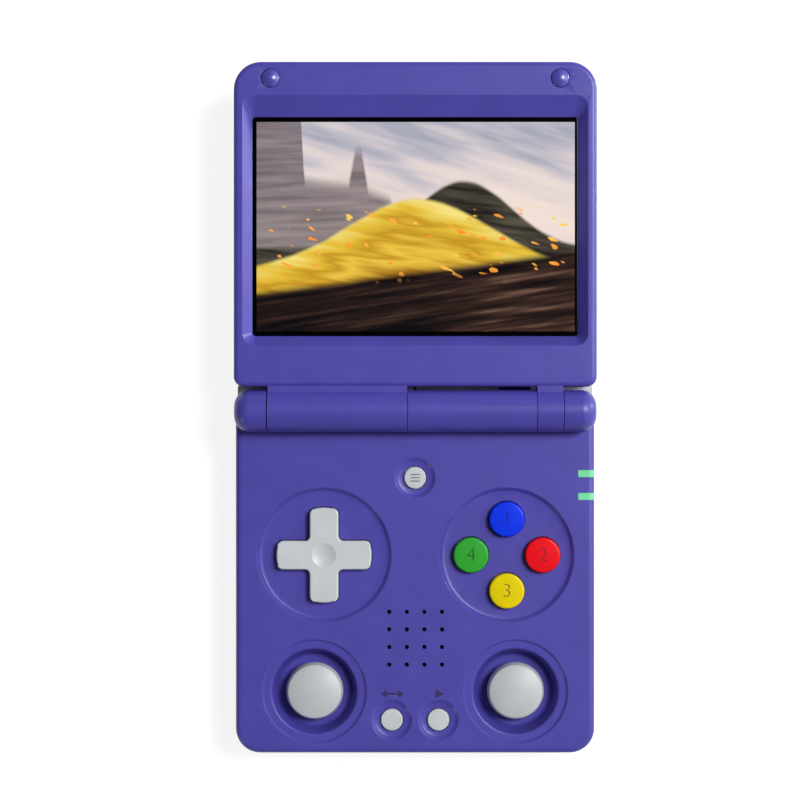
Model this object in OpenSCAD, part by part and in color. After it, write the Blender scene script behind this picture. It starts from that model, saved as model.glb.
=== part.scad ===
// Clamshell handheld game console, lying on its back and opened out flat.
// Millimetres. X is across the console, Y runs from the player towards the lid, Z is up.
// The origin is the centre of the base's bottom face.

/* [Base] */
// Width of the base
base_w = 81.7; // [81:0.1:83]
// Length of the base, front edge to back wall
base_l = 84; // [83.6:0.1:85]
// Thickness of the base
base_t = 15.5; // [15.3:0.1:16]
// Height of the joint line between the two base shells
base_split = 7.5; // [7.2:0.1:7.8]
// Radius of the front corners, seen from above
base_front_r = 5.6; // [4.5:0.1:6.5]
// Radius of the back corners, seen from above
base_back_r = 3; // [2.6:0.1:3.4]
// Wall thickness of the shells
wall = 1.6; // [1.4:0.1:1.7]

/* [Lid] */
// Width of the lid
lid_w = 81.8; // [81.4:0.1:83]
// Thickness of the lid
lid_t = 9.4; // [9.2:0.1:9.8]
// Distance from the hinge axis to the lid's near edge
lid_near = 5.5; // [5.3:0.05:5.7]
// Distance from the hinge axis to the lid's far edge
lid_far = 78.7; // [78:0.1:79]
// Radius of the far corners, seen from above
lid_far_r = 6.2; // [5:0.1:6.5]
// Radius of the corners beside the hinge, seen from above
lid_near_r = 2.3; // [2.1:0.1:3]
// Gap between the lid and the base when the lid is shut
closed_gap = 0.8; // [0.7:0.05:0.9]

/* [Hinge] */
// Distance from the hinge axis to the back wall of the base
hinge_inset = 6.1; // [6:0.05:6.3]
// Height of the hinge axis above the control face
hinge_rise = 3.4; // [3.3:0.05:3.5]
// Radius of the hinge barrel
barrel_r = 4.75; // [4.7:0.01:4.8]
// Radius of the hinge cartridge's shaft
shaft_r = 1.5; // [1.4:0.05:1.6]
// Radius of the hollow sleeve round the display cable
sleeve_r = 2; // [1.9:0.05:2.1]

/* [Screen] */
// Width of the lit picture of a 3.4 inch panel
lit_w = 71.86; // [71:0.01:72]
// Height of the lit picture
lit_l = 47.3; // [47:0.1:48]
// Width of the cover glass
glass_w = 73.4; // [73.2:0.1:74]
// Length of the cover glass
glass_l = 49.3; // [49:0.1:49.5]
// Distance from the hinge axis to the glass
glass_near = 17; // [16.8:0.1:17.2]
// Depth of the screen recess
recess_depth = 2.4; // [2.2:0.1:2.5]

/* [Controls] */
// Distance of the D-pad from the middle
pad_x = 20.7; // [20.5:0.1:20.9]
// Distance of the face buttons from the middle
face_x = 20.85; // [20.6:0.05:21]
// Distance of the D-pad and of the face buttons from the hinge axis
pad_back = 32.75; // [32.5:0.05:33]
// Radius of the dishes round them
dish_r = 15.25; // [15:0.05:15.4]
// Span of the D-pad
pad_span = 21.6; // [21:0.1:22]
// Width of the D-pad's arms
pad_arm = 6.5; // [6.3:0.1:6.7]
// Radius of a face button
face_r = 4; // [3.8:0.05:4.1]
// Distance of the face buttons from the middle of their dish
face_pitch = 8.15; // [8:0.05:8.3]
// Distance of the menu button from the hinge axis
menu_back = 15.2; // [14.9:0.1:15.5]
// Distance of the select and start buttons from the middle
start_x = 5.3; // [5.2:0.05:5.4]
// Distance of the select and start buttons from the hinge axis
start_back = 70.3; // [70:0.1:70.6]
// Radius of the menu, select and start buttons
small_r = 2.5; // [2.3:0.05:2.6]
// Distance of the thumbsticks from the middle
stick_x = 22.9; // [22.7:0.1:23.1]
// Distance of the thumbsticks from the hinge axis
stick_back = 63.85; // [63.7:0.05:64.2]
// Radius of the thumbstick's cap
cap_r = 6.5; // [6.3:0.05:6.6]
// Outer radius of the ledge round a thumbstick
ring_r = 11.85; // [11.7:0.05:12]
// Radius of the well round a thumbstick
well_r = 9.8; // [9.7:0.05:9.9]

/* [Details] */
// Distance of the middle of the speaker holes from the hinge axis
speaker_back = 51.7; // [51.4:0.05:52]
// Spacing of the speaker holes
speaker_pitch = 4; // [3.9:0.05:4.1]
// Radius of a speaker hole
speaker_hole_r = 0.5; // [0.4:0.05:0.6]
// Width of a light stripe
light_w = 1.6; // [1.4:0.1:1.8]
// Radius of the bore of the headphone jack
jack_r = 1.8; // [1.78:0.01:1.82]
// Length of the bore of the headphone jack
jack_depth = 11; // [10:0.5:12]

/* [Hidden] */

shell_colour = "#5651a2";
control_colour = "#bfc3c6";
light_colour = "#7fd8a1";
board_colour = "#1f5a3c";
steel_colour = "#a8abb0";
silicone_colour = "#8c9096";
dark_colour = "#202226";
far = 200;

// Heights and places that follow from the driving sizes
half_w = base_w / 2;
hinge_y = base_l / 2 - hinge_inset;
hinge_z = base_t + hinge_rise;
lid_face_z = 2 * hinge_z - base_t - closed_gap;
lid_back_z = lid_face_z - lid_t;
lid_split = lid_face_z - 4.6;
lid_near_y = hinge_y + lid_near;
lid_far_y = hinge_y + lid_far;
lid_floor = lid_back_z + 1.5;
ceiling = base_t - wall;
floor_z = 1.5;
deck_z = base_t - 3.9;
deck_under = deck_z - 1.4;
board_z = 5.2;
board_top = 6.2;
board_back_y = hinge_y - 3;

// Screen
recess_z = lid_face_z - recess_depth;
glass_t = 1;
ledge_z = recess_z - glass_t - 0.1;
glass_y = hinge_y + glass_near + glass_l / 2;
recess_w = 77.8;
recess_near_y = hinge_y + 14.7;
recess_far_y = hinge_y + 71.1;

// Hinge knuckles, from left to right
knuckle_gap = 0.15;
trough_r = barrel_r + 0.3;
run_gap = 0.06;
seat_gap = 0.02;
neck_drop = 0.45;
left_gap_x = -33.4;
middle_gap_x = -1.65;
right_gap_x = 27.35;
end_gap_x = 33.5;
lid_knuckles = [[left_gap_x, middle_gap_x], [right_gap_x, end_gap_x]];
base_knuckles = [[left_gap_x, -half_w], [middle_gap_x, right_gap_x], [end_gap_x, half_w]];
cartridge_r = 3.2;
cartridge_x = [8.9, 27.1];
sleeve_x = [-37.2, -20];
shaft_x = [12, 37.3];
cable_r = 0.9;
cable_low_z = 8;
cable_turn_x = -38.2;

// Controls
pad_y = hinge_y - pad_back;
menu_y = hinge_y - menu_back;
start_y = hinge_y - start_back;
stick_y = hinge_y - stick_back;
speaker_y = hinge_y - speaker_back;
speaker_x = 0.1;
dish_z = base_t - 1;
small_dish_z = base_t - 0.8;
small_dish_r = 4.5;
dish_under = dish_z - wall;
small_under = small_dish_z - 1.4;
face_gap = 0.2;
pad_gap = 0.2;
pad_top = base_t + 1.2;
pad_axis_z = dish_z - 0.8;
pad_flange_z = 10.6;
pad_corner = 0.9;
pad_inner_r = 1.1;
pad_bow_r = 9;
face_top = base_t + 1;
small_top = base_t - 0.2;

// Thumbsticks
stick_axis_z = 8.25;
ledge_drop = 0.6;
ring_floor_r = ring_r - 0.4;
bowl_z = base_t - 5;
bowl_foot_r = 1;
bowl_foot_x = well_r - 2.25;
bowl_slope = 68;
bowl_lip_r = 0.5;
bowl_lip_x = well_r + 0.3;
stick_hole_r = 3.6;
stick_boss_z = bowl_z - 0.7;
module_top = 9.7;
cap_face_r = 6;
cap_foot_z = base_t - 2.5;
cap_top_z = base_t + 1;
cap_dome = 1;

// Shoulder buttons
pin_y = hinge_y + 3.6;
pin_z = 4.4;
pin_r = 0.6;
notch_y = hinge_y + 1.7;
notch_z = [3.2, deck_z + 0.2];
shoulder_y = [hinge_y + 2.8, hinge_y + 8];
shoulder_z = [3.6, 11.3];
inner_x = [0.3, 19.2];
outer_x = [26.5, half_w - 0.2];
shoulder_gap = 0.3;

// Fastenings
case_posts = [[-36.4, -37.6], [36.4, -37.6], [-35.5, 29.2], [35.5, 29.2]];
post_r = 2.4;
foot_r = 3.2;
bumper_x = 32.6;
bumper_y = hinge_y + 74.9;
bumper_r = 2.05;
bumper_h = closed_gap - 0.05;

// Sockets and side buttons
side_z = 10.2;
jack_y = -12.5;
jack_z = 8.8;
usb_y = -12.5;
usb_z = 8.4;
power_y = 8;
volume_y = 20;
light_back = [14.25, 19.45];
light_x = 37.1;
light_z = 12;

// ---- shapes that repeat ----

// Profile of a round column with a rounded bottom and top edge
function column_outline(r, z0, z1, f0, f1) = concat(
    [[0, z0]],
    [for (a = [-90:18:0]) [r - f0 + f0 * cos(a), z0 + f0 + f0 * sin(a)]],
    [for (a = [0:18:90]) [r - f1 + f1 * cos(a), z1 - f1 + f1 * sin(a)]],
    [[0, z1]]
);

// Block with round corners in plan and rounded bottom and top edges
module soft_block(w, y0, y1, z0, z1, r0, r1, f0, f1) {
    hull() {
        for (side = [-1, 1]) {
            translate([side * (w / 2 - r0), y0 + r0, 0])
                rotate_extrude($fn = 48) polygon(column_outline(r0, z0, z1, f0, f1));
            translate([side * (w / 2 - r1), y1 - r1, 0])
                rotate_extrude($fn = 48) polygon(column_outline(r1, z0, z1, f0, f1));
        }
    }
}

// Rectangle with round corners: r0 at the y0 end, r1 at the y1 end
module round_rect(x0, x1, y0, y1, r0, r1) {
    translate([x0 + r0, y0]) square([x1 - x0 - 2 * r0, (y1 - y0) / 2]);
    translate([x0 + r1, (y0 + y1) / 2]) square([x1 - x0 - 2 * r1, (y1 - y0) / 2]);
    translate([x0, y0 + r0]) square([x1 - x0, y1 - y0 - r0 - r1]);
    for (x = [x0 + r0, x1 - r0]) translate([x, y0 + r0]) circle(r = r0, $fn = 48);
    for (x = [x0 + r1, x1 - r1]) translate([x, y1 - r1]) circle(r = r1, $fn = 48);
}

module round_plate(x0, x1, y0, y1, z0, z1, r) {
    translate([0, 0, z0]) linear_extrude(z1 - z0) round_rect(x0, x1, y0, y1, r, r);
}

module box(x0, x1, y0, y1, z0, z1) {
    translate([x0, y0, z0]) cube([x1 - x0, y1 - y0, z1 - z0]);
}

module post(x, y, z0, z1, r, sides = 48) {
    translate([x, y, z0]) cylinder(h = z1 - z0, r = r, $fn = sides);
}

// Cylinder on the hinge axis
module barrel(x0, x1, r) {
    translate([x0, hinge_y, hinge_z]) rotate([0, 90, 0]) cylinder(h = x1 - x0, r = r, $fn = 96);
}

// Cylinder along X at another height
module rod_x(x0, x1, y, z, r) {
    translate([x0, y, z]) rotate([0, 90, 0]) cylinder(h = x1 - x0, r = r, $fn = 32);
}

// Cylinder along Y
module rod_y(x, y0, y1, z, r) {
    translate([x, y0, z]) rotate([-90, 0, 0]) cylinder(h = y1 - y0, r = r, $fn = 32);
}

module base_block() {
    soft_block(base_w, -base_l / 2, base_l / 2, 0, base_t, base_front_r, base_back_r, 2.4, 1.3);
}

module lid_block() {
    soft_block(lid_w, lid_near_y, lid_far_y, lid_back_z, lid_face_z, lid_near_r, lid_far_r, 2, 1.1);
}

// A dish with a sloped wall, cut from the control face down to z
module dish_cut(x, y, r, z, slope) {
    translate([x, y, 0]) rotate_extrude($fn = 96) polygon([
        [0, z],
        [r - slope, z],
        [r - slope * 0.45, z + (base_t - z) * 0.2],
        [r - 0.02, base_t - (base_t - z) * 0.12],
        [r + 0.15, base_t],
        [r + 0.15, base_t + 1],
        [0, base_t + 1]
    ]);
}

// ---- lid ----

module lid_neck(k) {
    box(k[0] + knuckle_gap, k[1] - knuckle_gap, hinge_y + 1.5, lid_near_y + 1, lid_split, lid_face_z - neck_drop);
}

module lid_front_shell() {
    color(shell_colour) difference() {
        union() {
            difference() {
                intersection() {
                    lid_block();
                    box(-far, far, 0, far, lid_split, far);
                }
                // hollow borders beyond and before the screen
                box(-29, 29, recess_far_y + 0.6, lid_far_y - wall, 0, lid_face_z - wall);
                box(-38.5, 38.5, lid_near_y + wall, recess_near_y - 1.4, 0, lid_face_z - wall);
            }
            for (k = lid_knuckles) {
                barrel(k[0] + knuckle_gap, k[1] - knuckle_gap, barrel_r);
                lid_neck(k);
            }
        }
        // screen recess with sloped sides
        hull() {
            round_plate(-recess_w / 2, recess_w / 2, recess_near_y, recess_far_y, lid_face_z, lid_face_z + 0.01, 2.8);
            round_plate(-glass_w / 2 - 0.1, glass_w / 2 + 0.1, glass_y - glass_l / 2 - 0.1,
                glass_y + glass_l / 2 + 0.1, recess_z, recess_z + 0.01, 0.8);
        }
        // seat of the glass and the window behind it
        round_plate(-glass_w / 2 - 0.1, glass_w / 2 + 0.1, glass_y - glass_l / 2 - 0.1, glass_y + glass_l / 2 + 0.1,
            ledge_z, recess_z + 0.2, 0.8);
        box(-lit_w / 2 - 0.15, lit_w / 2 + 0.15, glass_y - lit_l / 2 - 0.15, glass_y + lit_l / 2 + 0.15,
            0, ledge_z + 1);
        // bumper pockets over the screw holes
        for (side = [-1, 1]) {
            post(side * bumper_x, bumper_y, lid_face_z - 1.9, lid_face_z + 1, bumper_r + 0.1);
            post(side * bumper_x, bumper_y, lid_face_z - 3, lid_face_z, 1.8);
            post(side * bumper_x, bumper_y, 0, lid_face_z, 1.05);
        }
        // bores of the left knuckle: the sleeve's bearing, the hollow beyond it and the cable's way out
        barrel(-40, sleeve_x[1] + 0.1, sleeve_r + run_gap);
        barrel(sleeve_x[1], -4, 3.1);
        rod_y(-17, hinge_y, lid_near_y + 4, hinge_z, cable_r + 0.3);
        // bore of the right knuckle for the shaft
        barrel(27, 34, shaft_r + seat_gap);
    }
}

module lid_back_shell() {
    color(shell_colour) difference() {
        union() {
            difference() {
                intersection() {
                    lid_block();
                    box(-far, far, 0, far, 0, lid_split);
                }
                round_plate(-lid_w / 2 + wall, lid_w / 2 - wall, lid_near_y + wall, lid_far_y - wall,
                    lid_floor, lid_face_z, 1.6);
            }
            for (side = [-1, 1]) post(side * bumper_x, bumper_y, lid_floor - 0.5, lid_split - 0.1, 2.1);
        }
        for (side = [-1, 1]) post(side * bumper_x, bumper_y, lid_floor + 0.2, lid_face_z, 0.75);
    }
}

module display_glass() {
    color(dark_colour)
        round_plate(-glass_w / 2, glass_w / 2, glass_y - glass_l / 2, glass_y + glass_l / 2,
            ledge_z + 0.02, ledge_z + 0.02 + glass_t, 0.7);
}

module display_panel() {
    color("#3a4a5c") {
        box(-38, 38, glass_y - 26.5, glass_y + 26.5, lid_floor + 0.3, lid_split - 0.1);
        box(-lit_w / 2, lit_w / 2, glass_y - lit_l / 2, glass_y + lit_l / 2, lid_split - 0.2, ledge_z);
    }
}

// Domed plugs over the lid's screws; the base's face rests on them when the lid is shut
module lid_bumpers() {
    dome_r = (bumper_r * bumper_r + bumper_h * bumper_h) / (2 * bumper_h);
    color(shell_colour) for (side = [-1, 1]) {
        post(side * bumper_x, bumper_y, lid_face_z - 1.85, lid_face_z, bumper_r);
        intersection() {
            post(side * bumper_x, bumper_y, lid_face_z - 0.1, lid_face_z + 2, bumper_r);
            translate([side * bumper_x, bumper_y, lid_face_z + bumper_h - dome_r]) sphere(r = dome_r, $fn = 64);
        }
    }
}

module lid_screws() {
    color(steel_colour) for (side = [-1, 1]) difference() {
        union() {
            post(side * bumper_x, bumper_y, lid_face_z - 2.98, lid_face_z - 1.95, 1.7, 32);
            post(side * bumper_x, bumper_y, lid_floor + 0.5, lid_face_z - 2.9, 0.7, 24);
        }
        for (turn = [0, 90]) translate([side * bumper_x, bumper_y, lid_face_z - 2.2]) rotate(turn)
            cube([2, 0.5, 0.8], center = true);
    }
}

module lid_magnet() {
    color(steel_colour) round_plate(11, 17, bumper_y - 2.5, bumper_y + 0.5, lid_face_z - 5.5, lid_face_z - 2.5, 0.5);
}

// Display cable: rolled up where it lies along the hinge axis, then out to the panel
module lid_display_cable() {
    color("#b5762f") {
        barrel(-33.55, -17, cable_r);
        translate([-17, hinge_y, hinge_z]) sphere(r = cable_r, $fn = 32);
        rod_y(-17, hinge_y, recess_near_y - 2.4, hinge_z, cable_r);
        box(-21, -13, lid_near_y + 3, recess_near_y - 2.2, hinge_z - 0.15, hinge_z + 0.15);
        box(-21, -13, recess_near_y - 2.4, recess_near_y - 2.1, lid_floor + 1, hinge_z + 0.15);
    }
}

module hinge_shaft() {
    color(steel_colour) barrel(shaft_x[0], shaft_x[1], shaft_r);
}

// ---- base shells ----

module base_support(x0, x1) {
    round_plate(x0, x1, hinge_y - 4.3, hinge_y + 4.2, deck_under, hinge_z, 1.2);
}

// Outer knuckle with a rounded outer end
module end_knuckle(side) {
    f = 3.4;
    length = half_w - lid_knuckles[1][1];
    mirror([side < 0 ? 1 : 0, 0, 0])
        translate([lid_knuckles[1][1], hinge_y, hinge_z]) rotate([0, 90, 0])
            rotate_extrude($fn = 96) polygon(concat(
                [[0, 0], [barrel_r, 0]],
                [for (a = [0:10:90]) [barrel_r - f + f * cos(a), length - f + f * sin(a)]],
                [[0, length]]
            ));
}

module stick_well_cut(side) {
    translate([side * stick_x, stick_y, 0]) rotate_extrude($fn = 96) polygon(concat(
        [[0, bowl_z]],
        arc(bowl_foot_x, bowl_z + bowl_foot_r, bowl_foot_r, -86, bowl_slope - 90, 6),
        arc(bowl_lip_x, base_t - ledge_drop - bowl_lip_r, bowl_lip_r, 90 + bowl_slope, 92, 5),
        [
            [ring_floor_r, base_t - ledge_drop + 0.05],
            [ring_r - 0.03, base_t - 0.1],
            [ring_r + 0.12, base_t],
            [ring_r + 0.12, base_t + 1],
            [0, base_t + 1]
        ]
    ));
}

function arc(x, y, r, a0, a1, steps) =
    [for (i = [0:steps]) let (a = a0 + (a1 - a0) * i / steps) [x + r * cos(a), y + r * sin(a)]];

// One arm of the D-pad with its bowed end, and the fillet to the next arm
function pad_arm_outline(gap) = let (
    half = pad_arm / 2 + gap,
    bow_x = pad_span / 2 - pad_bow_r,
    bow = pad_bow_r + gap,
    corner = pad_corner + gap,
    inner = max(0.1, pad_inner_r - gap),
    corner_y = half - corner,
    corner_x = bow_x + sqrt((bow - corner) * (bow - corner) - corner_y * corner_y),
    tilt = asin(corner_y / (bow - corner))
) concat(
    arc(corner_x, -corner_y, corner, -90, -tilt, 4),
    arc(bow_x, 0, bow, -tilt * 0.8, tilt * 0.8, 4),
    arc(corner_x, corner_y, corner, tilt, 90, 4),
    arc(half + inner, half + inner, inner, 270, 180, 4)
);

module pad_outline(gap) {
    arm = pad_arm_outline(gap);
    polygon([for (turn = [0:90:270], p = arm)
        [p[0] * cos(turn) - p[1] * sin(turn), p[0] * sin(turn) + p[1] * cos(turn)]]);
}

module at_face_buttons() {
    for (turn = [0:90:270]) translate([face_x, pad_y, 0]) rotate(turn) translate([face_pitch, 0, 0]) children();
}

module light_box(n, gap) {
    y = hinge_y - light_back[n];
    box(light_x - gap, far, y - light_w / 2 - gap, y + light_w / 2 + gap, light_z - gap, far);
}

// Room for the shoulder buttons in the back wall and the deck
module shoulder_notches() {
    box(-inner_x[1] - shoulder_gap, inner_x[1] + shoulder_gap, notch_y, far, notch_z[0], notch_z[1]);
    for (side = [-1, 1]) mirror([side < 0 ? 1 : 0, 0, 0])
        box(outer_x[0] - shoulder_gap, far, notch_y, far, notch_z[0], notch_z[1]);
}

module side_cuts() {
    // headphone jack and USB socket
    rod_x(-far, -half_w + wall + 0.5, jack_y, jack_z, 2.9);
    translate([half_w - wall - 0.5, usb_y, usb_z]) rotate([90, 0, 90]) linear_extrude(far)
        round_rect(-4.7, 4.7, -1.75, 1.75, 1.7, 1.7);
    // power button and volume rocker
    box(half_w - wall - 0.5, far, power_y - 3.2, power_y + 3.2, side_z - 1.3, side_z + 1.3);
    box(-far, -half_w + wall + 0.5, volume_y - 5.8, volume_y + 5.8, side_z - 1.3, side_z + 1.3);
}

module base_top_shell() {
    color(shell_colour) difference() {
        union() {
            difference() {
                intersection() {
                    base_block();
                    box(-far, far, -far, far, base_split, far);
                }
                // the deck behind the barrel is lower
                box(-far, far, hinge_y, far, deck_z, far);
                round_plate(-half_w + wall, half_w - wall, -base_l / 2 + wall, hinge_y - 6, 0, ceiling, 3);
                box(-half_w + wall, half_w - wall, hinge_y - 10, hinge_y + 4.5, 0, deck_under);
            }
            // thicker floors under the dishes and round the sticks
            for (side = [-1, 1]) {
                post(side * (side > 0 ? face_x : pad_x), pad_y, dish_under, ceiling + 0.5, dish_r + 1.2, 96);
                post(side * start_x, start_y, small_under, ceiling + 0.5, small_dish_r + 0.6);
                post(side * stick_x, stick_y, stick_boss_z, ceiling + 0.5, ring_r - 0.3, 96);
            }
            post(0, menu_y, small_under, ceiling + 0.5, small_dish_r + 1.2);
            for (p = case_posts) post(p[0], p[1], base_split, ceiling + 0.5, post_r);
            // knuckles and what carries them
            base_support(-39.4, left_gap_x);
            base_support(middle_gap_x, right_gap_x);
            base_support(end_gap_x, 39.4);
            end_knuckle(-1);
            end_knuckle(1);
            barrel(middle_gap_x, right_gap_x, barrel_r);
        }
        for (k = lid_knuckles) barrel(k[0], k[1], trough_r);
        shoulder_notches();
        // dishes and the holes in their floors
        for (side = [-1, 1]) {
            dish_cut(side * (side > 0 ? face_x : pad_x), pad_y, dish_r, dish_z, 1.35);
            dish_cut(side * start_x, start_y, small_dish_r, small_dish_z, 1.3);
            post(side * start_x, start_y, 0, far, small_r + face_gap);
            stick_well_cut(side);
            post(side * stick_x, stick_y, 0, far, stick_hole_r);
        }
        dish_cut(0, menu_y, small_dish_r, small_dish_z, 1.3);
        post(0, menu_y, 0, far, small_r + face_gap);
        translate([-pad_x, pad_y, dish_under - 1]) linear_extrude(10) pad_outline(pad_gap);
        at_face_buttons() cylinder(h = far, r = face_r + face_gap, $fn = 64);
        for (i = [-1.5:1.5], j = [-1.5:1.5])
            post(speaker_x + i * speaker_pitch, speaker_y + j * speaker_pitch, ceiling - 1, far, speaker_hole_r, 16);
        light_box(0, 0.03);
        light_box(1, 0.03);
        side_cuts();
        for (p = case_posts) post(p[0], p[1], 0, ceiling - 1, 0.85, 24);
        // bores: cable sleeve and cable way on the left, cartridge and shaft on the right
        barrel(sleeve_x[0] - 0.3, -33, sleeve_r + seat_gap);
        barrel(-39.5, -33, cable_r + 0.35);
        post(cable_turn_x, hinge_y, 0, hinge_z, cable_r + 0.3, 32);
        barrel(cartridge_x[0] - 0.1, 28, cartridge_r + seat_gap);
        barrel(33, shaft_x[1] + 0.2, shaft_r + run_gap);
    }
}

module base_bottom_shell() {
    color(shell_colour) difference() {
        union() {
            difference() {
                intersection() {
                    base_block();
                    box(-far, far, -far, far, 0, base_split);
                }
                round_plate(-half_w + wall, half_w - wall, -base_l / 2 + wall, base_l / 2 - wall,
                    floor_z, far, 2.4);
            }
            for (p = case_posts) post(p[0], p[1], floor_z - 0.5, base_split - 0.1, foot_r);
            // ribs that hold the shoulder buttons' pins
            for (side = [-1, 1])
                box(side * 22.9 - 3.2, side * 22.9 + 3.2, notch_y, base_l / 2 - 0.5, floor_z - 0.5, base_split - 0.1);
        }
        shoulder_notches();
        side_cuts();
        for (p = case_posts) {
            post(p[0], p[1], -1, far, 1.2, 32);
            post(p[0], p[1], -1, 1.1, 2.3);
        }
        // mouth of the memory card slot
        box(-5.8, 5.8, -far, -base_l / 2 + wall + 0.5, 2.9, 4.4);
        for (side = [-1, 1]) rod_x(side * 22.9 - 5, side * 22.9 + 5, pin_y, pin_z, pin_r + seat_gap);
    }
}

module case_screws() {
    color(steel_colour) for (p = case_posts) difference() {
        union() {
            post(p[0], p[1], 0.3, 1.08, 2.1, 32);
            post(p[0], p[1], 1, ceiling - 2, 0.8, 24);
        }
        for (turn = [0, 90]) translate([p[0], p[1], 0.4]) rotate(turn) cube([2.6, 0.55, 0.9], center = true);
    }
}

// ---- inside the base ----

module mainboard() {
    color(board_colour) difference() {
        union() {
            box(-38.4, 38.4, -39.6, board_back_y, board_z, board_top);
            box(-8, 6, -6, 8, board_top - 0.1, board_top + 1.2);
            box(-7, 3, 11, 16, board_top - 0.1, board_top + 1);
            box(-37.9, -34, 31, board_back_y, board_top - 0.1, board_top + 0.7);
            box(33.9, 36.9, power_y - 2.5, power_y + 2.5, board_top - 0.1, side_z + 1);
            for (y = light_back) box(36.4, 38.2, hinge_y - y - 0.8, hinge_y - y + 0.8, board_top - 0.1, board_top + 0.8);
        }
        for (p = case_posts) post(p[0], p[1], 0, far, foot_r + 0.4);
    }
}

module battery() {
    color("#3d4147") round_plate(-26, 26, -24, 24, floor_z + 0.2, board_z - 0.3, 1.2);
}

module speaker() {
    color(dark_colour) {
        round_plate(-7.5, 7.5, speaker_y - 7, speaker_y + 7, ceiling - 4.3, ceiling - 1, 2);
        round_plate(-6.5, 6.5, speaker_y - 6, speaker_y + 6, ceiling - 1.1, ceiling - 0.5, 1.5);
    }
}

module speaker_mesh() {
    color(dark_colour) round_plate(-7.6, 7.6, speaker_y - 7.6, speaker_y + 7.6, ceiling - 0.25, ceiling - 0.02, 1);
}

module hinge_cartridge() {
    color(steel_colour) difference() {
        barrel(cartridge_x[0], cartridge_x[1], cartridge_r);
        barrel(shaft_x[0] - 0.5, 28, shaft_r + run_gap);
    }
}

module hinge_sleeve() {
    color(steel_colour) difference() {
        barrel(sleeve_x[0], sleeve_x[1], sleeve_r);
        barrel(-40, 0, sleeve_r - 0.7);
    }
}

module base_display_cable() {
    color("#b5762f") {
        barrel(cable_turn_x, -33.7, cable_r);
        translate([cable_turn_x, hinge_y, hinge_z]) sphere(r = cable_r, $fn = 32);
        post(cable_turn_x, hinge_y, cable_low_z, hinge_z, cable_r, 32);
        translate([cable_turn_x, hinge_y, cable_low_z]) sphere(r = cable_r, $fn = 32);
        rod_y(cable_turn_x, board_back_y, hinge_y, cable_low_z, cable_r);
    }
}

module membrane_dome(x, y, z, r) {
    translate([x, y, board_top]) cylinder(h = z - board_top, r1 = r + 0.7, r2 = r, $fn = 32);
}

module dpad_membrane() {
    color(silicone_colour) {
        post(-pad_x, pad_y, board_top + 0.05, board_top + 0.8, 12.4, 64);
        for (turn = [0:90:270]) translate([-pad_x, pad_y, 0.1]) rotate(turn) membrane_dome(8, 0, 9, 2.3);
        post(-pad_x, pad_y, board_top + 0.1, 9.1, 1.8, 32);
    }
}

module face_button_membrane() {
    color(silicone_colour) {
        post(face_x, pad_y, board_top + 0.05, board_top + 0.8, 12.4, 64);
        for (turn = [0:90:270]) translate([face_x, pad_y, 0.1]) rotate(turn) membrane_dome(face_pitch, 0, 9.9, 2.4);
    }
}

module menu_button_membrane() {
    color(silicone_colour) {
        post(0, menu_y, board_top + 0.05, board_top + 0.8, 3.6, 32);
        translate([0, 0, 0.1]) membrane_dome(0, menu_y, 11, 1.8);
    }
}

module start_select_membrane() {
    color(silicone_colour) {
        round_plate(-start_x - 3.4, start_x + 3.4, start_y - 3.4, start_y + 3.4, board_top + 0.05, board_top + 0.8, 1);
        for (side = [-1, 1]) translate([0, 0, 0.1]) membrane_dome(side * start_x, start_y, 11, 1.8);
    }
}

module stick_module(side) {
    color(steel_colour) translate([side * stick_x, stick_y, 0]) difference() {
        union() {
            box(-7, 7, -7, 7, board_top + 0.05, module_top);
            box(-8.2, -6.9, -4, 4, board_top + 0.1, module_top - 0.6);
            box(-4, 4, 6.9, 8.2, board_top + 0.1, module_top - 0.6);
        }
        box(-5.2, 5.2, -5.2, 5.2, board_top + 0.5, far);
        rod_x(-6.5, 6.5, 0, stick_axis_z, 0.8 + run_gap);
    }
}

module stick_rocker(side) {
    color(dark_colour) translate([side * stick_x, stick_y, stick_axis_z]) difference() {
        union() {
            box(-4.4, 4.4, -3, 3, -0.8, 0.8);
            rod_x(-6.4, 6.4, 0, 0, 0.8);
        }
        box(-3.2, 3.2, -2.1, 2.1, -2, 2);
        rod_y(0, -2.9, 2.9, 0, 0.6 + run_gap);
    }
}

module stick_fork(side) {
    color(silicone_colour) translate([side * stick_x, stick_y, stick_axis_z]) difference() {
        union() {
            box(-1.7, 1.7, -1.9, 1.9, -0.8, 0.8);
            rod_y(0, -2.8, 2.8, 0, 0.6);
        }
        post(0, 0, -2, 2, 0.95 + run_gap, 32);
    }
}

// Cap on a stem: the cap's skirt keeps clear of the bowl at every tilt
module thumbstick(side) {
    rim_z = cap_top_z - cap_dome;
    dome_r = (cap_face_r * cap_face_r + cap_dome * cap_dome) / (2 * cap_dome);
    color(control_colour) translate([side * stick_x, stick_y, 0]) {
        post(0, 0, stick_axis_z - 0.85, stick_axis_z + 2, 0.95, 32);
        post(0, 0, stick_axis_z + 1.3, cap_foot_z + 1, 1.6, 32);
        rotate_extrude($fn = 96) polygon(concat(
            [
                [0, cap_foot_z],
                [cap_r - 0.6, cap_foot_z],
                [cap_r - 0.1, cap_foot_z + 0.15],
                [cap_r, cap_foot_z + 0.4],
                [cap_r - 0.08, cap_foot_z + 1],
                [cap_r - 0.3, rim_z - 0.45],
                [cap_face_r + 0.08, rim_z - 0.12]
            ],
            [for (r = [cap_face_r:-1:0]) [r, cap_top_z - dome_r + sqrt(dome_r * dome_r - r * r)]]
        ));
    }
}

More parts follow.
